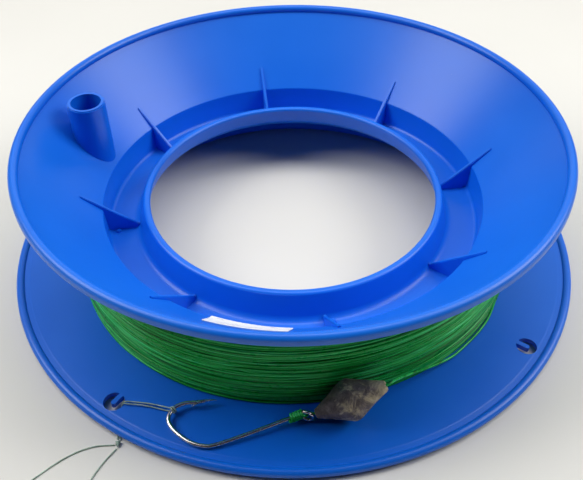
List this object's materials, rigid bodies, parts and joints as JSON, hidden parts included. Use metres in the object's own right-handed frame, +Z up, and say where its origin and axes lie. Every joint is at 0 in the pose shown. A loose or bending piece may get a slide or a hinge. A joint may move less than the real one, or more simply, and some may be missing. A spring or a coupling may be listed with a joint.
{
  "type": "fishing line spool",
  "caption": "Wide hand caster spool for fishing line: conical casting flange, drum, hand ring and flat back flange, with wound line, a hook and a sliding sinker.",
  "frame": {"origin": "centre of the underside, on the plane of the ring that the reel rests on", "axes": "+Z up along the spool's axis, from the flat back flange towards the conical flange; the hook and sinker lie on the -Y side of the back flange"},
  "size_m": [0.203, 0.2194, 0.0518],
  "materials": {
    "spool_plastic": "satin moulded polypropylene",
    "green_line": "glossy nylon monofilament",
    "keeper_line": "thin translucent nylon monofilament",
    "hook_steel": "dark nickel plated steel wire",
    "lead": "dull cast lead with pale oxide patches",
    "label_paper": "white paper sticker"
  },
  "bodies": {
    "root": {"front_moulding": "spool_plastic", "drum_and_back_flange": "spool_plastic", "line_winding": "green_line", "price_label": "label_paper", "leader_line": "green_line", "keeper_line": "keeper_line", "keeper_knot": "keeper_line", "keeper_tail_a": "keeper_line", "keeper_tail_b": "keeper_line"},
    "hook": {"hook": "hook_steel", "snell_knot": "green_line"},
    "sinker": {"sinker": "lead"}
  },
  "joints": [
    {"name": "hook_lift", "type": "hinge", "parent": "root", "child": "hook", "pos_m": [0.0036, -0.08335, 0.00585], "axis": [-0.386, 0.9225, 0], "range_deg": [0, 8], "deforming": ["keeper_line"]},
    {"name": "sinker_spin", "type": "hinge", "parent": "root", "child": "sinker", "pos_m": [0.0063, -0.083, 0.0064], "axis": [0.9019, 0.142, 0.408], "continuous": true}
  ]
}
